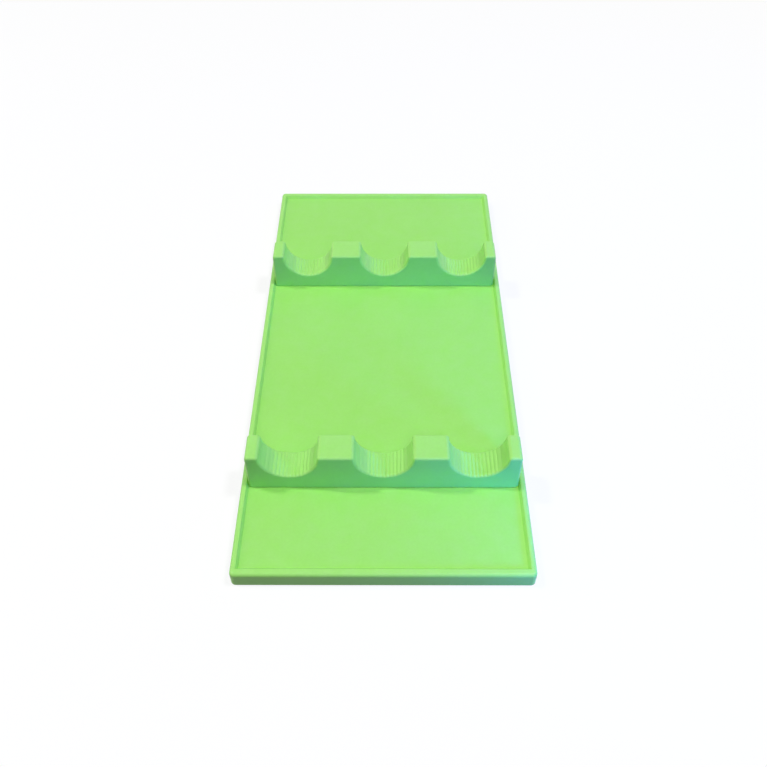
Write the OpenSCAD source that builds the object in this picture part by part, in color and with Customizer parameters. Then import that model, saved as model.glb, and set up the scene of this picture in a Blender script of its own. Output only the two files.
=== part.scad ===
// Spoon rest: a shallow rimmed tray with two upright racks across it. Each rack has a row of
// half-round saddles open at the top, clear of the tray floor.
// Millimetres. Origin at the middle of the underside, +Y towards the rear, +Z up.

/* [Tray] */
// Overall width of the tray, side to side
tray_w = 92; // [70:1:140]
// Overall length of the tray, front to rear
tray_l = 192.7; // [160:0.1:260]
// Thickness of the tray floor
floor_t = 4.6; // [2.5:0.1:6]
// Height of the rim above the floor
rim_h = 1.2; // [1:0.1:5]
// Width of the rim along the sides, outer face to inner face
rim_w = 1.8; // [1.2:0.1:4]
// Width of the rim along the front and rear edges
end_rim_w = 2.4; // [1.2:0.1:5]
// Radius of the upright outer corners
corner_r = 1.6; // [1.2:0.1:8]
// Rounding along the rim's outer top edge
rim_round = 1.1; // [0.3:0.1:1.1]
// Radius of the cove where the rim meets the floor
cove_r = 1; // [0.3:0.1:1.2]

/* [Racks] */
// Thickness of each rack, front to rear
rack_t = 10; // [7:0.5:20]
// Height of each rack above the tray floor
rack_h = 15; // [12:0.5:30]
// Gap between each end of a rack and the rim's inner face
rack_end_gap = 0.7; // [0.2:0.1:3]
// Rounding along the front and rear edges of a rack
edge_round = 0.55; // [0.3:0.05:0.6]
// Rounding of the top corners of a rack's posts, seen from the front
post_round = 1.2; // [0.9:0.1:1.6]
// Front edge of the tray to the front face of the front rack
front_inset = 32.7; // [10:0.1:50]
// Rear edge of the tray to the rear face of the rear rack
rear_inset = 52; // [10:0.1:60]

/* [Saddles] */
// Number of saddles in each rack
saddle_count = 3; // [1:1:3]
// Radius of each half-round saddle
saddle_r = 9; // [6:0.5:11]
// Width of the post at each end of a rack, before rounding
end_post_w = 4.5; // [3:0.5:8]

/* [Seats] */
// Depth of the tongue under each rack
tongue_h = 1.5; // [0.8:0.1:2]
// Step in from each rack face to the tongue
shoulder_w = 2; // [1:0.1:3]
// Clearance around each tongue in its groove
seat_gap = 0.15; // [0.05:0.05:0.4]
// Clearance below each tongue
seat_floor_gap = 0.2; // [0.1:0.05:0.4]

/* [Hidden] */
$fn = 64;
// How far every cut runs past the solid that it cuts
overrun = 1;
// How far each lip of a rack runs back into the plate behind it, whose edge lies half as deep
weld = 0.5;
// How far the rounded corner of a post is set back from the lips beside it
corner_inset = 0.05;
// Share of a post's flat top that runs in from each of its corners, so that the two overlap
run_share = 0.6;
print_green = "#9ce371";

// Recess inside the rim
recess_w = tray_w - 2 * rim_w;
recess_l = tray_l - 2 * end_rim_w;
recess_cove = min(cove_r, rim_h);
recess_corner_r = max(corner_r - rim_w, recess_cove);

// Racks, measured from the middle of the tray
rack_l = recess_w - 2 * rack_end_gap;
front_rack_y = front_inset + rack_t / 2 - tray_l / 2;
rear_rack_y = tray_l / 2 - rear_inset - rack_t / 2;
tongue_l = rack_l - 2 * shoulder_w;
tongue_t = rack_t - 2 * shoulder_w;

// Ends of a rack: how far the rim's cove reaches under them, and how far they clear the floor for it
cove_reach = max(recess_cove - rack_end_gap, 0);
heel_gap = recess_cove - sqrt(pow(recess_cove, 2) - pow(cove_reach, 2)) + seat_gap;

// Rack outline inside its rounded lip
core_l = rack_l - 2 * post_round;
core_h = rack_h - post_round;

// Saddles: half circles centred on the rack's top plane, with rounded mouths
saddle_span = rack_l - 2 * end_post_w - 2 * saddle_r;
saddle_pitch = saddle_count > 1 ? saddle_span / (saddle_count - 1) : 0;
saddle_xs = [for (i = [0 : saddle_count - 1]) (i - (saddle_count - 1) / 2) * saddle_pitch];
lip_r = saddle_r + post_round;
mouth_half = sqrt(pow(lip_r, 2) - pow(post_round, 2));
mouth_angle = asin(post_round / lip_r);

// Flat tops of the posts: where each starts and ends along the rack
post_from = concat([-core_l / 2], [for (x = saddle_xs) x + mouth_half]);
post_to = concat([for (x = saddle_xs) x - mouth_half], [core_l / 2]);

// Section through an edge: a wall of the given reach and height with its top corner rounded
module edge_section(reach, h, round_r) {
    square([reach, h - round_r]);
    if (reach > round_r) square([reach - round_r, h]);
    translate([reach - round_r, h - round_r]) intersection() {
        circle(round_r);
        square(round_r);
    }
}

// Straight run of an edge section, along Y and facing +X
module edge_run(length, reach, h, round_r) {
    translate([0, length / 2, 0]) rotate([90, 0, 0]) linear_extrude(length) edge_section(reach, h, round_r);
}

// Slab on the XY plane with rounded upright corners and a rounded top edge
module soft_slab(w, l, h, corner, round_r) {
    flat_w = w - 2 * corner;
    flat_l = l - 2 * corner;
    translate([-flat_w / 2, -flat_l / 2, 0]) cube([flat_w, flat_l, h]);
    for (side = [0, 1]) mirror([side, 0, 0]) {
        translate([flat_w / 2, 0, 0]) edge_run(flat_l, corner, h, round_r);
        for (end = [0, 1]) mirror([0, end, 0])
            translate([flat_w / 2, flat_l / 2, 0]) rotate_extrude(angle = 90) edge_section(corner, h, round_r);
    }
    for (end = [0, 180]) rotate(end + 90)
        translate([flat_l / 2, 0, 0]) edge_run(flat_w, corner, h, round_r);
}

// Section across the lip that runs round a rack: it faces +X, with the given depth of solid behind it
module lip_section(depth, inset) {
    flat_t = rack_t - 2 * edge_round;
    flat_reach = post_round - edge_round;
    round_r = edge_round - inset;
    translate([-depth, -flat_t / 2 - round_r]) square([depth + flat_reach, flat_t + 2 * round_r]);
    translate([-depth, -flat_t / 2]) square([depth + flat_reach + round_r, flat_t]);
    for (face = [0, 1]) translate([flat_reach, (face - 1 / 2) * flat_t]) intersection() {
        circle(round_r);
        translate([0, (face - 1) * round_r]) square(round_r);
    }
}

// Straight lip facing +Y and running along +X
module lip_run(length) {
    rotate([90, 0, 90]) linear_extrude(length) lip_section(weld, 0);
}

// Rounded corner of a post, set back a hair from the lips that it joins
module lip_corner() {
    rotate_extrude() lip_section(0, corner_inset);
}

// Half ring of lip that lines a saddle
module saddle_lining() {
    rotate(mouth_angle - 180) rotate_extrude(angle = 180 - 2 * mouth_angle)
        translate([lip_r, 0]) rotate(180) lip_section(weld, 0);
}

// Plate behind the lips of a rack
module rack_plate() {
    plate_l = core_l - weld;
    linear_extrude(rack_t, center = true) difference() {
        translate([-plate_l / 2, 0]) square([plate_l, core_h - weld / 2]);
        for (x = saddle_xs) translate([x, rack_h]) circle(lip_r + weld / 2);
    }
}

// Upright part of a rack, drawn in the XY plane with its thickness along Z
module rack_body() {
    rack_plate();
    for (x = saddle_xs) translate([x, rack_h, 0]) saddle_lining();
    for (i = [0 : saddle_count]) {
        run_l = run_share * (post_to[i] - post_from[i]);
        translate([post_from[i], core_h, 0]) lip_run(run_l);
        translate([post_to[i], core_h, 0]) mirror([1, 0, 0]) lip_run(run_l);
    }
    for (x = concat(post_from, post_to)) translate([x, core_h, 0]) lip_corner();
    for (side = [0, 1]) mirror([side, 0, 0])
        translate([core_l / 2, core_h, 0]) rotate(-90) lip_run(core_h - heel_gap);
}

// One rack with its middle on the Z axis and its foot on the XY plane
module rack() {
    rotate([90, 0, 0]) rack_body();
    translate([-tongue_l / 2, -tongue_t / 2, -tongue_h]) cube([tongue_l, tongue_t, tongue_h]);
}

// Groove that takes the tongue of a rack, cut down from the floor
module seat_groove() {
    groove_l = tongue_l + 2 * seat_gap;
    groove_t = tongue_t + 2 * seat_gap;
    groove_h = tongue_h + seat_floor_gap;
    translate([-groove_l / 2, -groove_t / 2, -groove_h]) cube([groove_l, groove_t, groove_h + overrun]);
}

// Tray with its rim, cove and the two grooves that the racks stand in
module tray() {
    color(print_green) difference() {
        soft_slab(tray_w, tray_l, floor_t + rim_h, corner_r, rim_round);
        translate([0, 0, floor_t + rim_h + overrun]) mirror([0, 0, 1])
            soft_slab(recess_w, recess_l, rim_h + overrun, recess_corner_r, recess_cove);
        for (y = [front_rack_y, rear_rack_y]) translate([0, y, floor_t]) seat_groove();
    }
}

// Rack near the front, on the tray floor
module front_rack() {
    color(print_green) translate([0, front_rack_y, floor_t]) rack();
}

// Rack towards the rear, on the tray floor
module rear_rack() {
    color(print_green) translate([0, rear_rack_y, floor_t]) rack();
}

tray();
front_rack();
rear_rack();
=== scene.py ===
"""Looks of a printed spoon rest: a rimmed tray with two saddle racks, on a white studio floor.

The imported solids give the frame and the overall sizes. Each piece is modelled again with the small
forms of a printed part: rounded edges, a sloping inner rim, ridged saddles and a fine gap under each
rack. Properties are in metres, and meshes are shaped in millimetres.
"""

import math
import random

import bmesh
import bpy
from bpy.props import FloatProperty, FloatVectorProperty, IntProperty, PointerProperty
from mathutils import Matrix, Vector


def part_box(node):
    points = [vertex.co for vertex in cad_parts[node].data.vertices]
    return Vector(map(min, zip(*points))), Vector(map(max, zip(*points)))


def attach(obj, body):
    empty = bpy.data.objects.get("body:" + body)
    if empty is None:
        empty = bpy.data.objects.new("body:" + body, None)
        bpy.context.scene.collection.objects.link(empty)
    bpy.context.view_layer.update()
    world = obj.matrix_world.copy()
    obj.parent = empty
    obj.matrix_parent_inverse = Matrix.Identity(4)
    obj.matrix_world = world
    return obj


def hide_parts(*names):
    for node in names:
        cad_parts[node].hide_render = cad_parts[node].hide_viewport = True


bl_info = {
    "name": "Printed spoon rest",
    "version": (1, 0, 0),
    "blender": (4, 5, 0),
    "location": "View3D > Sidebar > Spoon rest",
    "description": "Builds the tray, the racks and the studio of a printed spoon rest",
    "category": "Add Mesh",
}

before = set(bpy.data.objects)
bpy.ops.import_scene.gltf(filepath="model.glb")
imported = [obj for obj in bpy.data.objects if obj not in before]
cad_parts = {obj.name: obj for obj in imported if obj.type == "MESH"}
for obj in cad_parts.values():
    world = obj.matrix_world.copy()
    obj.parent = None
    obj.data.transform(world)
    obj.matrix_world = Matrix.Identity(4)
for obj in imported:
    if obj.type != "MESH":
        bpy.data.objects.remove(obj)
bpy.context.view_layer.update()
TRAY_LOW, TRAY_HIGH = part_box("tray")

MM = 0.001
RACK_NODES = ("front_rack", "rear_rack")
# Places of the saddles along a rack, in pitches from its middle
SADDLES = (-1, 0, 1)

# Steps of arcs, and segments of roundings
ARC_STEPS = 8
RIDGE_STEPS = 10
CORNER_SEGMENTS = 12
BASE_SEGMENTS = 4
EDGE_SEGMENTS = 6
FOOT_SEGMENTS = 3

# Strip beside a rounding that keeps the flat face next to it flat, in millimetres
FLAT_MARGIN = 0.08
# Plain strip round the tray floor, in millimetres
FLOOR_MARGIN = 0.6
# Distances in millimetres: within which vertices merge, and that count as none
MERGE = 0.01
TINY = 0.001
# Angle from which an edge is shaded sharp
SHARP_ANGLE = math.radians(38)
# Degrees that the rim's inner top edge turns before the slope starts
INNER_TURN = 60
# Steps left out at the top of the cove's arc, where the slope meets it
COVE_SKIP = 3
# Rise of a rack's heel for each millimetre towards its end
HEEL_STEEP = 1.3

# Ridges of the saddles: seed and range of their strengths, powers that narrow and fade the lines
RIDGE_SEED = 40
RIDGE_SPREAD = (0.55, 1)
RIDGE_NARROW = 4
RIDGE_FADE = 2

# Turn of the printed lines on level faces, in degrees
LINE_TURN = 45
# Upward share of a normal between which the layers of walls give way to the lines of level faces
LEVEL_FROM = 0.8
LEVEL_TO = 0.98

# Noises in the plastic: scale per metre and detail
WANDER_NOISE = (90, 1)
CLOUD_NOISE = (70, 2)
GRAIN_NOISE = (1100, 2)
SHEEN_NOISE = (240, 3)

# How far the noises spread what they vary: a place in metres, shares of tone and colour, roughness
WANDER_SPREAD = 0.00008
CLOUD_SPREAD = 0.05
GRAIN_SPREAD = 0.07
SHEEN_SATURATION = -0.1
SHEEN_ROUGHNESS = 0.16

# Painted light on raised parts: heights above the tray floor, in metres, between which the plastic is
# painted lighter and less saturated, and by how much
PAINTED_LIGHT_FROM = 0.0001
PAINTED_LIGHT_TO = 0.001
PAINTED_LIGHT_TONE = 0.03
PAINTED_LIGHT_SATURATION = -0.035

PLASTIC_IOR = 1.46
# How far red, green and blue go into the plastic, as shares of the glow depth
GLOW_RADIUS = (0.6, 1, 0.4)

# Colours of the studio, and the share of the floor that glows by itself for the camera
WHITE = (1, 1, 1, 1)
WORLD_COLOUR = (0.94, 1, 1.12, 1)
COOL_BLUE = (0, 0.17, 1)
FLOOR_BOUNCE = (0.12, 0.12, 0.12, 1)
FLOOR_GLOW = 0.85
# Side of the studio floor, in metres
FLOOR_SIDE = 8

# Camera: place in millimetres, angles in degrees, sensor in millimetres
CAMERA_PLACE = (1.257, -221.239, 228.676)
CAMERA_YAW = 0.353
CAMERA_DIP = 47.879
CAMERA_ROLL = -0.229
SENSOR_WIDTH = 36
# Half a pixel, as a share of the picture's side
PICTURE_SIDE = 767
HALF_PIXEL = 0.5 / PICTURE_SIDE
# Nearest and farthest distance that the camera shows, in metres
CLIP_START = 0.01
CLIP_END = 50

# Lights that face the object's middle: name, property with the watts, place and side in metres
LIGHT_AIM = (0, 0, 0.01)
LIGHTS = (
    ("Key light", "key_power", (0.52, -0.04, 1.24), 0.16),
    ("Left key light", "left_key_power", (-1.0, 0.235, 1.75), 0.16),
    ("Left light", "left_power", (-0.6, 0, 0.3), 0.4),
    ("Front light", "front_power", (-0.5, -0.4, 0.25), 0.3),
    ("Camera light", "camera_power", (0.05, -0.68, 0.74), 0.1),
    ("Right glint", "glint_power", (0.5, 0.45, 0.08), 0.15),
    ("Left glint", "left_glint_power", (-0.5, 0.45, 0.08), 0.15),
)
# Cool lights: name, property with the watts, place, aim and side in metres, spread in degrees
COOL_LIGHTS = (
    ("Blue light", "blue_power", (0.12, -0.16, 0.04), (0.045, -0.06, 0.01), 0.03, 70),
    ("Far blue light", "far_blue_power", (0.12, -0.03, 0.05), (0.045, 0.04, 0.012), 0.03, 70),
    ("Side blue light", "side_blue_power", (0.2, 0.12, 0.16), (0.045, 0.02, 0.01), 0.08, 180),
)


class TraySizes(bpy.types.PropertyGroup):
    """Sizes of the tray that its box does not give."""

    floor_top: FloatProperty(
        name="Floor height",
        description="Top of the tray floor above the underside",
        default=0.0046,
        unit="LENGTH",
    )
    rim_width: FloatProperty(
        name="Rim width",
        description="Width of the rim along the sides",
        default=0.0018,
        unit="LENGTH",
    )
    end_rim_width: FloatProperty(
        name="End rim width",
        description="Width of the rim along the front and rear edges",
        default=0.0024,
        unit="LENGTH",
    )
    corner_radius: FloatProperty(
        name="Corner radius",
        description="Radius of the upright corners",
        default=0.0016,
        unit="LENGTH",
    )
    rim_round: FloatProperty(
        name="Rim rounding",
        description="Rounding of the rim's outer top edge",
        default=0.0011,
        unit="LENGTH",
    )
    inner_round: FloatProperty(
        name="Inner rounding",
        description="Rounding of the rim's inner top edge",
        default=0.00022,
        unit="LENGTH",
    )
    slope: FloatProperty(
        name="Inner slope",
        description="How far the rim's inner face slopes in on its way down",
        default=0.0006,
        unit="LENGTH",
    )
    cove: FloatProperty(
        name="Cove radius",
        description="Radius of the hollow where the rim meets the floor",
        default=0.00025,
        unit="LENGTH",
    )
    base_round: FloatProperty(
        name="Base rounding",
        description="Rounding of the tray's bottom edge",
        default=0.0003,
        unit="LENGTH",
    )


class RackSizes(bpy.types.PropertyGroup):
    """Sizes of a rack that its box does not give."""

    saddle_radius: FloatProperty(
        name="Saddle radius",
        description="Radius of each half-round saddle",
        default=0.0092,
        unit="LENGTH",
    )
    saddle_pitch: FloatProperty(
        name="Saddle pitch",
        description="Distance from saddle to saddle",
        default=0.03,
        unit="LENGTH",
    )
    post_round: FloatProperty(
        name="Post rounding",
        description="Rounding of the posts' top corners",
        default=0.0012,
        unit="LENGTH",
    )
    edge_round: FloatProperty(
        name="Edge rounding",
        description="Rounding of the front and rear edges",
        default=0.0008,
        unit="LENGTH",
    )
    foot_gap: FloatProperty(
        name="Foot gap",
        description="Rounding under the foot, which leaves a fine shadow line",
        default=0.00018,
        unit="LENGTH",
    )
    tongue_height: FloatProperty(
        name="Tongue height",
        description="Depth of the tongue under the foot",
        default=0.0015,
        unit="LENGTH",
    )
    shoulder: FloatProperty(
        name="Shoulder",
        description="Step in from each face to the tongue",
        default=0.002,
        unit="LENGTH",
    )
    seat_gap: FloatProperty(
        name="Seat gap",
        description="Clearance round each tongue in its groove",
        default=0.00015,
        unit="LENGTH",
    )
    seat_floor_gap: FloatProperty(
        name="Seat floor gap",
        description="Clearance below each tongue",
        default=0.0002,
        unit="LENGTH",
    )
    heel: FloatProperty(
        name="Heel",
        description="How far up each end of the foot is cut away to clear the rim",
        default=0.0003,
        unit="LENGTH",
    )
    ridge_count: IntProperty(
        name="Ridges",
        description="Fine ridges side by side across each saddle",
        default=16,
        min=1,
    )
    ridge_depth: FloatProperty(
        name="Ridge depth",
        description="Depth of the lines between the ridges",
        default=0.0003,
        unit="LENGTH",
    )


class PlasticFinish(bpy.types.PropertyGroup):
    """Colour and surface of the plastic."""

    colour: FloatVectorProperty(
        name="Colour",
        description="Colour of the plastic",
        default=(0.333, 0.752, 0.14),
        size=3,
        min=0,
        max=1,
        subtype="COLOR",
    )
    roughness: FloatProperty(
        name="Roughness",
        description="How matt the plastic is",
        default=0.4,
        min=0,
        max=1,
        subtype="FACTOR",
    )
    layer_height: FloatProperty(
        name="Layer height",
        description="Height of one printed layer",
        default=0.0002,
        unit="LENGTH",
    )
    line_width: FloatProperty(
        name="Line width",
        description="Width of one printed line on level faces",
        default=0.00045,
        unit="LENGTH",
    )
    line_depth: FloatProperty(
        name="Line depth",
        description="Depth of the valleys between printed lines",
        default=0.00002,
        unit="LENGTH",
    )
    line_strength: FloatProperty(
        name="Line strength",
        description="How strongly the printed lines show",
        default=0.35,
        min=0,
        max=1,
        subtype="FACTOR",
    )
    glow_share: FloatProperty(
        name="Glow share",
        description="Share of the light that goes into the plastic",
        default=0.1,
        min=0,
        max=1,
        subtype="FACTOR",
    )
    glow_depth: FloatProperty(
        name="Glow depth",
        description="How far light goes into the plastic",
        default=0.0008,
        unit="LENGTH",
    )


class StageLook(bpy.types.PropertyGroup):
    """Lens of the camera and levels of the lights."""

    lens: FloatProperty(
        name="Lens",
        description="Focal length in millimetres",
        default=39.469,
        min=1,
        unit="CAMERA",
    )
    world_level: FloatProperty(
        name="World",
        description="Level of the light from all round",
        default=0.1,
        min=0,
    )
    key_power: FloatProperty(
        name="Key",
        description="Watts of the key light at the right",
        default=8.3,
        min=0,
        unit="POWER",
    )
    left_key_power: FloatProperty(
        name="Left key",
        description="Watts of the key light at the left",
        default=12.5,
        min=0,
        unit="POWER",
    )
    left_power: FloatProperty(
        name="Left",
        description="Watts of the soft light on the left",
        default=0.92,
        min=0,
        unit="POWER",
    )
    front_power: FloatProperty(
        name="Front",
        description="Watts of the soft light at the left front",
        default=0.3,
        min=0,
        unit="POWER",
    )
    camera_power: FloatProperty(
        name="Camera light",
        description="Watts of the light behind the camera",
        default=0.85,
        min=0,
        unit="POWER",
    )
    blue_power: FloatProperty(
        name="Blue",
        description="Watts of the cool light close by at the right front",
        default=0.055,
        min=0,
        unit="POWER",
    )
    far_blue_power: FloatProperty(
        name="Far blue",
        description="Watts of the cool light close by at the right that falls on the rear rack",
        default=0.008,
        min=0,
        unit="POWER",
    )
    side_blue_power: FloatProperty(
        name="Side blue",
        description="Watts of the cool light above the right side",
        default=0.16,
        min=0,
        unit="POWER",
    )
    glint_power: FloatProperty(
        name="Right glint",
        description="Watts of the low light at the right rear that glints on edges",
        default=0.18,
        min=0,
        unit="POWER",
    )
    left_glint_power: FloatProperty(
        name="Left glint",
        description="Watts of the low light at the left rear that glints on edges",
        default=0.07,
        min=0,
        unit="POWER",
    )


def mm(metres):
    """Length in millimetres, in which the meshes are shaped."""
    return metres / MM


def keep_mesh(name, bm, node, turn):
    """Makes the piece that stands for a node; turn is the way that its top lines run, in degrees."""
    bmesh.ops.scale(bm, vec=(MM, MM, MM), verts=bm.verts[:])
    bmesh.ops.recalc_face_normals(bm, faces=bm.faces[:])
    mesh = bpy.data.meshes.new(name)
    bm.to_mesh(mesh)
    bm.free()
    mesh.shade_smooth()
    mesh.set_sharp_from_angle(angle=SHARP_ANGLE)
    mesh.materials.append(plastic(name, turn))
    piece = bpy.data.objects.new(name, mesh)
    bpy.context.scene.collection.objects.link(piece)
    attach(piece, "root")
    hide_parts(node)


def add_level_face(bm, wide, long, height):
    """Adds a level rectangle about the Z axis at a height, and gives its corners."""
    corners = bmesh.ops.create_grid(bm, x_segments=1, y_segments=1, size=0.5)["verts"]
    bmesh.ops.scale(bm, vec=(wide, long, 1), verts=corners)
    bmesh.ops.translate(bm, verts=corners, vec=(0, 0, height))
    return corners


def step_in(bm, face, inset, lift):
    """Moves a level face in by inset and up by lift, and leaves a band of wall behind it."""
    bmesh.ops.inset_region(bm, faces=[face], thickness=inset, use_even_offset=True, use_boundary=True)
    bmesh.ops.translate(bm, verts=face.verts[:], vec=(0, 0, lift))


def follow(bm, face, profile, level):
    """Steps a level face along a profile, from the given level."""
    at_in, at_up = 0, level
    for point_in, point_up in profile:
        step_in(bm, face, point_in - at_in, point_up - at_up)
        at_in, at_up = point_in, point_up


def round_edges(bm, edges, radius, segments):
    """Rounds edges with the given radius, in millimetres."""
    bmesh.ops.bevel(
        bm,
        geom=edges,
        offset=radius,
        offset_type="OFFSET",
        segments=segments,
        profile=0.5,
        affect="EDGES",
        material=-1,
        clamp_overlap=False,
    )


def verts_of(geom):
    """Vertices among the results of a bmesh operator."""
    return [item for item in geom if isinstance(item, bmesh.types.BMVert)]


def faces_of(geom):
    """Faces among the results of a bmesh operator."""
    return [item for item in geom if isinstance(item, bmesh.types.BMFace)]


def arc_turns(degrees):
    """Angles along an arc of the given degrees, from 0 on."""
    return [math.radians(degrees * i / ARC_STEPS) for i in range(ARC_STEPS + 1)]


def quarter(radius):
    """Quarter of a circle from a wall to a level top, as pairs of distance in and height."""
    return [(radius * (1 - math.cos(a)), radius * math.sin(a)) for a in arc_turns(90)]


def outer_profile(sizes, height):
    """Outer side of the rim from the base up to its level top, as pairs of distance in and height."""
    rim = mm(sizes.rim_round)
    points = [(0, mm(sizes.base_round) + FLAT_MARGIN), (0, height - rim - FLAT_MARGIN)]
    points += [(way_in, height - rim + up) for way_in, up in quarter(rim)]
    return points + [(rim + FLAT_MARGIN, height)]


def inner_profile(sizes, height):
    """Inner side of the rim from its level top down to the floor, as pairs of distance in and height."""
    inner = mm(sizes.inner_round)
    cove = mm(sizes.cove)
    foot = FLAT_MARGIN + inner + mm(sizes.slope)
    floor = mm(sizes.floor_top)
    points = [
        (FLAT_MARGIN + inner * math.sin(a), height - inner * (1 - math.cos(a)))
        for a in arc_turns(INNER_TURN)
    ]
    points += [(foot + way_in, floor + cove - up) for way_in, up in quarter(cove)[COVE_SKIP:]]
    return points


def cut_faces(bm, faces, place, axis):
    """Cuts level faces along a line and gives the faces that come of it."""
    geom = list(faces)
    for face in faces:
        geom += [*face.edges, *face.verts]
    geom = list(dict.fromkeys(geom))
    cut = bmesh.ops.bisect_plane(bm, geom=geom, dist=TINY, plane_co=place, plane_no=axis)
    return faces_of(cut["geom"])


def sink_groove(bm, floor, low, high, depth):
    """Sinks a groove between two corners into the floor faces, and gives the floor beside its strip."""
    for place in (low, high):
        floor = cut_faces(bm, floor, place, (0, 1, 0))
    strip = [face for face in floor if low.y < face.calc_center_median().y < high.y]
    rest = [face for face in floor if face not in strip]
    for place in (low, high):
        strip = cut_faces(bm, strip, place, (1, 0, 0))
    bed = [face for face in strip if low.x < face.calc_center_median().x < high.x]
    made = bmesh.ops.extrude_face_region(bm, geom=bed)["geom"]
    bmesh.ops.translate(bm, verts=verts_of(made), vec=(0, 0, -depth))
    bmesh.ops.delete(bm, geom=[face for face in bed if face.is_valid], context="FACES_ONLY")
    return rest


class SPOONREST_OT_tray(bpy.types.Operator):
    """Builds the rimmed tray"""

    bl_idname = "spoonrest.tray"
    bl_label = "Build the tray"

    def execute(self, context):
        sizes = context.scene.spoonrest_tray
        span = (TRAY_HIGH - TRAY_LOW) / MM
        bm = bmesh.new()
        self.outer_shell(bm, sizes, span)
        floor = self.inner_bowl(bm, sizes, span)
        rims = [edge for edge in bm.edges if edge.is_boundary]
        bmesh.ops.triangle_fill(bm, edges=rims, use_beauty=True, normal=(0, 0, 1))
        step_in(bm, floor, FLOOR_MARGIN, 0)
        self.sink_seats(bm, floor, context.scene.spoonrest_racks)
        keep_mesh("printed_tray", bm, "tray", LINE_TURN)
        return {"FINISHED"}

    def outer_shell(self, bm, sizes, span):
        """Makes the base, the walls and the rounded rim, open at the top."""
        add_level_face(bm, span.x, span.y, 0)
        bmesh.ops.bevel(
            bm,
            geom=bm.verts[:],
            offset=mm(sizes.corner_radius),
            offset_type="OFFSET",
            segments=CORNER_SEGMENTS,
            profile=0.5,
            affect="VERTICES",
            material=-1,
        )
        bm.faces.ensure_lookup_table()
        follow(bm, bm.faces[0], outer_profile(sizes, span.z), 0)
        base = [edge for edge in bm.edges if edge.is_boundary]
        bmesh.ops.contextual_create(bm, geom=base)
        round_edges(bm, base, mm(sizes.base_round), BASE_SEGMENTS)
        bmesh.ops.remove_doubles(bm, verts=bm.verts[:], dist=MERGE)
        top = max(bm.faces, key=lambda face: face.calc_area() * face.calc_center_median().z)
        bmesh.ops.delete(bm, geom=[top], context="FACES_ONLY")

    def inner_bowl(self, bm, sizes, span):
        """Makes the sloping inner faces and the floor, and gives the floor."""
        back = mm(sizes.inner_round) + FLAT_MARGIN
        wide = span.x - 2 * (mm(sizes.rim_width) - back)
        long = span.y - 2 * (mm(sizes.end_rim_width) - back)
        corners = add_level_face(bm, wide, long, span.z)
        floor = corners[0].link_faces[0]
        follow(bm, floor, inner_profile(sizes, span.z), span.z)
        return floor

    def sink_seats(self, bm, floor, sizes):
        """Sinks the groove that takes the tongue of each rack."""
        inset = mm(sizes.shoulder - sizes.seat_gap)
        step = Vector((inset, inset, 0))
        depth = mm(sizes.tongue_height + sizes.seat_floor_gap)
        faces = [floor]
        for node in RACK_NODES:
            low, high = (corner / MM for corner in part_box(node))
            faces = sink_groove(bm, faces, low + step, high - step, depth)


def run_on(bm, tip, move):
    """Draws a straight stretch of outline from the tip and gives the new tip."""
    new = bmesh.ops.extrude_vert_indiv(bm, verts=[tip])["verts"][0]
    bmesh.ops.translate(bm, verts=[new], vec=move)
    return new


def turn_on(bm, tip, centre, degrees, steps):
    """Draws an arc of outline from the tip, clockwise from the front, and gives the new tip."""
    angle = math.radians(degrees)
    made = bmesh.ops.spin(bm, geom=[tip], cent=centre, axis=(0, 1, 0), angle=angle, steps=steps)
    return verts_of(made["geom_last"])[0]


def flat_top(bm, tip, until):
    """Draws the level top of a post up to a place along the rack, with a short stretch at each end."""
    tip = run_on(bm, tip, (FLAT_MARGIN, 0, 0))
    tip = run_on(bm, tip, (until - FLAT_MARGIN - tip.co.x, 0, 0))
    return run_on(bm, tip, (FLAT_MARGIN, 0, 0))


def draw_rack_outline(bm, sizes, low, high):
    """Draws the front of a rack as one face: end posts, saddles between them, and a level foot."""
    radius = mm(sizes.saddle_radius)
    pitch = mm(sizes.saddle_pitch)
    round_r = mm(sizes.post_round)
    lip = radius + round_r
    mouth = math.sqrt(lip ** 2 - round_r ** 2)
    lean = math.degrees(math.asin(round_r / lip))
    top = high.z
    under = top - round_r
    first = bm.verts.new(low)
    tip = run_on(bm, first, (0, 0, under - FLAT_MARGIN - low.z))
    tip = run_on(bm, tip, (0, 0, FLAT_MARGIN))
    tip = turn_on(bm, tip, (low.x + round_r, low.y, under), 90, ARC_STEPS)
    for index in SADDLES:
        middle = index * pitch
        tip = flat_top(bm, tip, middle - mouth)
        tip = turn_on(bm, tip, (middle - mouth, low.y, under), 90 - lean, ARC_STEPS)
        tip = turn_on(bm, tip, (middle, low.y, top), 2 * lean - 180, RIDGE_STEPS * sizes.ridge_count)
        tip = turn_on(bm, tip, (middle + mouth, low.y, under), 90 - lean, ARC_STEPS)
    tip = flat_top(bm, tip, high.x - round_r)
    tip = turn_on(bm, tip, (high.x - round_r, low.y, under), 90, ARC_STEPS)
    tip = run_on(bm, tip, (0, 0, -FLAT_MARGIN))
    tip = run_on(bm, tip, (0, 0, low.z - tip.co.z))
    bmesh.ops.contextual_create(bm, geom=[tip, first])
    bmesh.ops.contextual_create(bm, geom=bm.edges[:])


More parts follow.
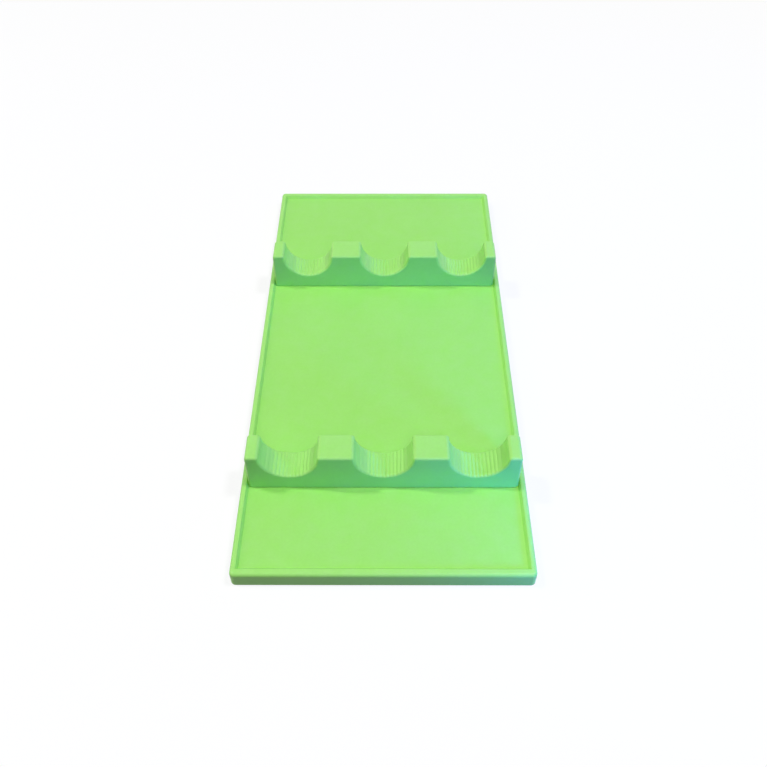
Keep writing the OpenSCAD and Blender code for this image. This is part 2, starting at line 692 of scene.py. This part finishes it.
def ridge_saddles(bm, sizes, top):
    """Presses fine uneven lines along the bed of each saddle, deepest near the bottom."""
    radius = mm(sizes.saddle_radius)
    pitch = mm(sizes.saddle_pitch)
    depth = mm(sizes.ridge_depth)
    reach = radius + mm(sizes.edge_round)
    for index in SADDLES:
        axis = Vector((index * pitch, 0, top))
        draw = random.Random(RIDGE_SEED + index)
        strength = [draw.uniform(*RIDGE_SPREAD) for _ in range(sizes.ridge_count)]
        for vert in bm.verts:
            out = vert.co - axis
            out.y = 0
            share = (out.x / radius + 1) / 2 * sizes.ridge_count
            if not 0 < share < sizes.ridge_count or out.length > reach:
                continue
            wave = math.sin(math.pi * share) ** RIDGE_NARROW * (out.z / out.length) ** RIDGE_FADE
            fade = max(0, 1 - (out.length - radius) / (reach - radius))
            push = depth * wave * fade * strength[int(share)]
            vert.co += out.normalized() * push


class SPOONREST_OT_racks(bpy.types.Operator):
    """Builds the front and rear racks"""

    bl_idname = "spoonrest.racks"
    bl_label = "Build the racks"

    def execute(self, context):
        for node, turn in zip(RACK_NODES, (LINE_TURN, -LINE_TURN)):
            self.build(context.scene.spoonrest_racks, node, turn)
        return {"FINISHED"}

    def build(self, sizes, node, turn):
        """Builds one rack where its node stands."""
        low, high = (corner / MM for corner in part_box(node))
        low.z += mm(sizes.tongue_height)
        high.z -= TINY
        bm = bmesh.new()
        draw_rack_outline(bm, sizes, low, high)
        made = bmesh.ops.extrude_face_region(bm, geom=bm.faces[:])["geom"]
        bmesh.ops.translate(bm, verts=verts_of(made), vec=(0, high.y - low.y, 0))
        outline = [
            edge for edge in bm.edges
            if abs(edge.verts[0].co.y - edge.verts[1].co.y) < TINY
            and max(vert.co.z for vert in edge.verts) > low.z + TINY
        ]
        round_edges(bm, outline, mm(sizes.edge_round), EDGE_SEGMENTS)
        self.firm_flats(bm, mm(sizes.edge_round) + FLAT_MARGIN, low, high)
        ridge_saddles(bm, sizes, high.z)
        self.shape_foot(bm, sizes)
        keep_mesh("printed_" + node, bm, node, turn)

    def firm_flats(self, bm, margin, low, high):
        """Cuts a line beside each rounded edge, so that the flat faces keep a flat shade."""
        for place in (low.y + margin, high.y - margin):
            geom = [*bm.verts, *bm.edges, *bm.faces]
            bmesh.ops.bisect_plane(bm, geom=geom, dist=TINY, plane_co=(0, place, 0), plane_no=(0, 1, 0))
        front_and_rear = sorted(bm.faces, key=lambda face: face.calc_area())[-2:]
        for face in front_and_rear:
            bmesh.ops.inset_region(bm, faces=[face], thickness=FLAT_MARGIN, use_even_offset=True)

    def shape_foot(self, bm, sizes):
        """Rounds the foot for a fine shadow line, cuts the heels and draws the tongue down."""
        bmesh.ops.recalc_face_normals(bm, faces=bm.faces[:])
        level = min(vert.co.z for vert in bm.verts)
        foot = [face for face in bm.faces if max(vert.co.z for vert in face.verts) < level + TINY]
        foot = bmesh.ops.dissolve_faces(bm, faces=foot, use_verts=True)["region"][0]
        round_edges(bm, foot.edges[:], mm(sizes.foot_gap), FOOT_SEGMENTS)
        end = max(vert.co.x for vert in bm.verts)
        for vert in bm.verts:
            rise = mm(sizes.heel) - HEEL_STEEP * (end - abs(vert.co.x))
            vert.co.z = max(vert.co.z, level + rise)
        foot = min(bm.faces, key=lambda face: face.calc_area() * face.normal.z)
        step_in(bm, foot, mm(sizes.shoulder - sizes.foot_gap), 0)
        step_in(bm, foot, 0, -mm(sizes.tongue_height))


def new_group(name, inputs, outputs):
    """Makes a shader node group with named sockets, and gives it with its two end nodes."""
    group = bpy.data.node_groups.new(name, "ShaderNodeTree")
    for label, kind in inputs:
        group.interface.new_socket(label, in_out="INPUT", socket_type="NodeSocket" + kind)
    for label, kind in outputs:
        group.interface.new_socket(label, in_out="OUTPUT", socket_type="NodeSocket" + kind)
    return group, group.nodes.new("NodeGroupInput"), group.nodes.new("NodeGroupOutput")


def math_node(tree, operation, *values):
    """Adds a Math node whose inputs are numbers or sockets, and gives its result."""
    node = tree.nodes.new("ShaderNodeMath")
    node.operation = operation
    for socket, value in zip(node.inputs, values):
        if isinstance(value, bpy.types.NodeSocket):
            tree.links.new(value, socket)
        else:
            socket.default_value = value
    return node.outputs[0]


def noise_node(tree, place, scale, detail):
    """Adds a Noise Texture on the given place and gives its value, about 0.5 on average."""
    node = tree.nodes.new("ShaderNodeTexNoise")
    node.inputs["Scale"].default_value = scale
    node.inputs["Detail"].default_value = detail
    tree.links.new(place, node.inputs["Vector"])
    return node.outputs[0]


def spread_node(tree, noise, spread, middle):
    """Spreads a noise about a middle and gives the result."""
    return math_node(tree, "MULTIPLY_ADD", noise, spread, middle - spread / 2)


def split_node(tree, vector):
    """Splits a vector and gives its three values."""
    node = tree.nodes.new("ShaderNodeSeparateXYZ")
    tree.links.new(vector, node.inputs[0])
    return node.outputs


def smooth_node(tree, value, low, high):
    """Gives a share that rises smoothly from 0 to 1 while the value goes from low to high."""
    node = tree.nodes.new("ShaderNodeMapRange")
    node.interpolation_type = "SMOOTHSTEP"
    node.inputs["From Min"].default_value = low
    node.inputs["From Max"].default_value = high
    tree.links.new(value, node.inputs["Value"])
    return node.outputs["Result"]


def line_node(tree, place, wander, width):
    """Gives the height of rounded lines of a width, side by side along a place that wanders a little."""
    count = math_node(tree, "DIVIDE", math_node(tree, "ADD", place, wander), width)
    wave = math_node(tree, "SINE", math_node(tree, "MULTIPLY", count, math.pi))
    return math_node(tree, "ABSOLUTE", wave)


def print_lines_group():
    """Group for the printed lines: stacked layers on the walls and laid lines on the level faces."""
    group, start, end = new_group(
        "Print lines",
        (
            ("Place", "Vector"),
            ("Facing", "Vector"),
            ("Layer Height", "Float"),
            ("Line Width", "Float"),
            ("Turn", "Float"),
        ),
        (("Height", "Float"),),
    )
    place = start.outputs["Place"]
    wander = spread_node(group, noise_node(group, place, *WANDER_NOISE), WANDER_SPREAD, 0)
    layers = line_node(group, split_node(group, place)["Z"], wander, start.outputs["Layer Height"])
    turned = group.nodes.new("ShaderNodeVectorRotate")
    turned.rotation_type = "Z_AXIS"
    group.links.new(place, turned.inputs["Vector"])
    group.links.new(start.outputs["Turn"], turned.inputs["Angle"])
    across = split_node(group, turned.outputs[0])["X"]
    lines = line_node(group, across, wander, start.outputs["Line Width"])
    upward = math_node(group, "ABSOLUTE", split_node(group, start.outputs["Facing"])["Z"])
    mix = group.nodes.new("ShaderNodeMix")
    group.links.new(smooth_node(group, upward, LEVEL_FROM, LEVEL_TO), mix.inputs["Factor"])
    group.links.new(layers, mix.inputs["A"])
    group.links.new(lines, mix.inputs["B"])
    group.links.new(mix.outputs["Result"], end.inputs["Height"])
    return group


def plastic_tone_group():
    """Group for the plastic's unevenness: clouds, grain and patches of sheen, plus painted light that
    makes raised parts lighter and less saturated.
    """
    group, start, end = new_group(
        "Plastic tone",
        (
            ("Place", "Vector"),
            ("Color", "Color"),
            ("Roughness", "Float"),
            ("Floor Top", "Float"),
        ),
        (("Color", "Color"), ("Roughness", "Float")),
    )
    place = start.outputs["Place"]
    above = math_node(group, "SUBTRACT", split_node(group, place)["Z"], start.outputs["Floor Top"])
    # Painted light: parts above the tray floor are painted lighter and less saturated than the floor
    painted_light_share = smooth_node(group, above, PAINTED_LIGHT_FROM, PAINTED_LIGHT_TO)
    sheen = noise_node(group, place, *SHEEN_NOISE)
    clouds = spread_node(group, noise_node(group, place, *CLOUD_NOISE), CLOUD_SPREAD, 1)
    grain = spread_node(group, noise_node(group, place, *GRAIN_NOISE), GRAIN_SPREAD, 1)
    tone = math_node(group, "MULTIPLY", clouds, grain)
    tone = math_node(group, "MULTIPLY", tone, math_node(group, "MULTIPLY_ADD", painted_light_share, PAINTED_LIGHT_TONE, 1))
    depth = spread_node(group, sheen, SHEEN_SATURATION, 1)
    painted_light_washout = math_node(group, "MULTIPLY_ADD", painted_light_share, PAINTED_LIGHT_SATURATION, 1)
    hue = group.nodes.new("ShaderNodeHueSaturation")
    group.links.new(start.outputs["Color"], hue.inputs["Color"])
    group.links.new(tone, hue.inputs["Value"])
    group.links.new(math_node(group, "MULTIPLY", depth, painted_light_washout), hue.inputs["Saturation"])
    group.links.new(hue.outputs["Color"], end.inputs["Color"])
    shift = spread_node(group, sheen, SHEEN_ROUGHNESS, 0)
    group.links.new(math_node(group, "ADD", start.outputs["Roughness"], shift), end.inputs["Roughness"])
    return group


def group_node(tree, name, maker):
    """Adds the node group of that name to a tree, made the first time it is asked for."""
    node = tree.nodes.new("ShaderNodeGroup")
    node.node_tree = bpy.data.node_groups.get(name) or maker()
    return node


def plastic(piece, turn):
    """Printed plastic of one piece; turn is the way the lines on its level faces run, in degrees."""
    finish = bpy.context.scene.spoonrest_plastic
    material = bpy.data.materials.new(piece + "_plastic")
    material.use_nodes = True
    tree = material.node_tree
    shader = tree.nodes["Principled BSDF"]
    shader.inputs["IOR"].default_value = PLASTIC_IOR
    shader.inputs["Subsurface Weight"].default_value = finish.glow_share
    shader.inputs["Subsurface Radius"].default_value = GLOW_RADIUS
    shader.inputs["Subsurface Scale"].default_value = finish.glow_depth
    where = tree.nodes.new("ShaderNodeTexCoord")
    tone = group_node(tree, "Plastic tone", plastic_tone_group)
    tone.inputs["Color"].default_value = (*finish.colour, 1)
    tone.inputs["Roughness"].default_value = finish.roughness
    # The floor's height is where the painted light on raised parts sets in
    tone.inputs["Floor Top"].default_value = bpy.context.scene.spoonrest_tray.floor_top
    tree.links.new(where.outputs["Object"], tone.inputs["Place"])
    tree.links.new(tone.outputs["Color"], shader.inputs["Base Color"])
    tree.links.new(tone.outputs["Roughness"], shader.inputs["Roughness"])
    lines = group_node(tree, "Print lines", print_lines_group)
    lines.inputs["Layer Height"].default_value = finish.layer_height
    lines.inputs["Line Width"].default_value = finish.line_width
    lines.inputs["Turn"].default_value = math.radians(turn)
    tree.links.new(where.outputs["Object"], lines.inputs["Place"])
    tree.links.new(where.outputs["Normal"], lines.inputs["Facing"])
    bump = tree.nodes.new("ShaderNodeBump")
    bump.inputs["Strength"].default_value = finish.line_strength
    bump.inputs["Distance"].default_value = finish.line_depth
    tree.links.new(lines.outputs["Height"], bump.inputs["Height"])
    tree.links.new(bump.outputs["Normal"], shader.inputs["Normal"])
    return material


def add_area(name, place, aim, side, watts):
    """Adds a square soft light that faces a point."""
    light = bpy.data.lights.new(name, "AREA")
    light.size = side
    light.energy = watts
    lamp = bpy.data.objects.new(name, light)
    lamp.location = place
    lamp.visible_camera = False
    lamp.rotation_euler = (Vector(aim) - Vector(place)).to_track_quat("-Z", "Y").to_euler()
    bpy.context.scene.collection.objects.link(lamp)
    return lamp


def seen_ray(tree):
    """Socket that is 1 for rays that show a background: camera, glossy and transmission rays."""
    rays = tree.nodes.new("ShaderNodeLightPath").outputs
    seen = math_node(tree, "MAXIMUM", rays["Is Camera Ray"], rays["Is Glossy Ray"])
    return math_node(tree, "MAXIMUM", seen, rays["Is Transmission Ray"])


def show_mix(tree, output, share, first, second):
    """Sends a mix of two shaders to the output node, with the given share of the second."""
    mix = tree.nodes.new("ShaderNodeMixShader")
    tree.links.new(share, mix.inputs["Fac"])
    tree.links.new(first.outputs[0], mix.inputs[1])
    tree.links.new(second.outputs[0], mix.inputs[2])
    tree.links.new(mix.outputs[0], tree.nodes[output].inputs["Surface"])


def studio_floor():
    """Pale floor that takes the shadow: white to the camera, grey to the light that bounces off it."""
    material = bpy.data.materials.new("Studio floor")
    material.use_nodes = True
    tree = material.node_tree
    shader = tree.nodes["Principled BSDF"]
    shader.inputs["Roughness"].default_value = 1
    shader.inputs["Specular IOR Level"].default_value = 0
    seen = seen_ray(tree)
    tone = tree.nodes.new("ShaderNodeMix")
    tone.data_type = "RGBA"
    tone.inputs["A"].default_value = FLOOR_BOUNCE
    tone.inputs["B"].default_value = WHITE
    tree.links.new(seen, tone.inputs["Factor"])
    tree.links.new(tone.outputs["Result"], shader.inputs["Base Color"])
    glow = tree.nodes.new("ShaderNodeEmission")
    glow.inputs["Color"].default_value = WHITE
    show_mix(tree, "Material Output", math_node(tree, "MULTIPLY", seen, FLOOR_GLOW), shader, glow)
    return material


class SPOONREST_OT_stage(bpy.types.Operator):
    """Builds the floor, the lights and the camera"""

    bl_idname = "spoonrest.stage"
    bl_label = "Build the stage"

    def execute(self, context):
        scene = context.scene
        look = scene.spoonrest_stage
        scene.view_settings.view_transform = "Standard"
        self.floor(scene)
        self.world(scene, look)
        self.lights(look)
        self.camera(scene, look)
        return {"FINISHED"}

    def floor(self, scene):
        """Lays the studio floor under the tray."""
        bm = bmesh.new()
        add_level_face(bm, FLOOR_SIDE, FLOOR_SIDE, 0)
        mesh = bpy.data.meshes.new("studio_floor")
        bm.to_mesh(mesh)
        bm.free()
        mesh.materials.append(studio_floor())
        floor = bpy.data.objects.new("studio_floor", mesh)
        scene.collection.objects.link(floor)

    def world(self, scene, look):
        """Sets a faint light from all round, behind a background that shows white."""
        world = bpy.data.worlds.new("Studio")
        world.use_nodes = True
        tree = world.node_tree
        light = tree.nodes["Background"]
        light.inputs["Color"].default_value = WORLD_COLOUR
        light.inputs["Strength"].default_value = look.world_level
        white = tree.nodes.new("ShaderNodeBackground")
        white.inputs["Color"].default_value = WHITE
        show_mix(tree, "World Output", seen_ray(tree), light, white)
        scene.world = world

    def lights(self, look):
        """Sets the soft lights, and the cool ones that no reflection shows."""
        for name, power, place, side in LIGHTS:
            add_area(name, place, LIGHT_AIM, side, getattr(look, power))
        for name, power, place, aim, side, spread in COOL_LIGHTS:
            lamp = add_area(name, place, aim, side, getattr(look, power))
            lamp.data.color = COOL_BLUE
            lamp.data.spread = math.radians(spread)
            lamp.visible_glossy = False

    def camera(self, scene, look):
        """Sets the camera where it looks down on the tray from the front."""
        data = bpy.data.cameras.new("Camera")
        data.sensor_width = SENSOR_WIDTH
        data.lens = look.lens
        data.shift_x = -HALF_PIXEL
        data.shift_y = HALF_PIXEL
        data.clip_start = CLIP_START
        data.clip_end = CLIP_END
        camera = bpy.data.objects.new("Camera", data)
        place = Matrix.Translation(Vector(CAMERA_PLACE) * MM)
        yaw = Matrix.Rotation(math.radians(CAMERA_YAW), 4, "Z")
        pitch = Matrix.Rotation(math.radians(90 - CAMERA_DIP), 4, "X")
        roll = Matrix.Rotation(math.radians(CAMERA_ROLL), 4, "Z")
        camera.matrix_world = place @ yaw @ pitch @ roll
        scene.collection.objects.link(camera)
        scene.camera = camera


class SPOONREST_PT_panel(bpy.types.Panel):
    """Lists the sizes, the finish and the steps"""

    bl_idname = "SPOONREST_PT_panel"
    bl_label = "Spoon rest"
    bl_space_type = "VIEW_3D"
    bl_region_type = "UI"
    bl_category = "Spoon rest"

    def draw(self, context):
        """Draws a box for each property group, and a button for each operator."""
        for name in PROPERTY_GROUPS:
            group = getattr(context.scene, name)
            box = self.layout.box()
            for prop in group.bl_rna.properties:
                if prop.identifier not in ("rna_type", "name"):
                    box.prop(group, prop.identifier)
        for operator in OPERATORS:
            self.layout.operator(operator.bl_idname)


PROPERTY_GROUPS = {
    "spoonrest_tray": TraySizes,
    "spoonrest_racks": RackSizes,
    "spoonrest_plastic": PlasticFinish,
    "spoonrest_stage": StageLook,
}
OPERATORS = (SPOONREST_OT_stage, SPOONREST_OT_tray, SPOONREST_OT_racks)
CLASSES = (*PROPERTY_GROUPS.values(), *OPERATORS, SPOONREST_PT_panel)


def register():
    """Registers the classes and hangs the property groups on the scene."""
    for item in CLASSES:
        bpy.utils.register_class(item)
    for name, group in PROPERTY_GROUPS.items():
        setattr(bpy.types.Scene, name, PointerProperty(type=group))


def unregister():
    """Takes the property groups and the classes away again."""
    for name in PROPERTY_GROUPS:
        delattr(bpy.types.Scene, name)
    for item in reversed(CLASSES):
        bpy.utils.unregister_class(item)


def main():
    """Builds everything."""
    register()
    bpy.ops.spoonrest.stage()
    bpy.ops.spoonrest.tray()
    bpy.ops.spoonrest.racks()


if __name__ == "__main__":
    main()
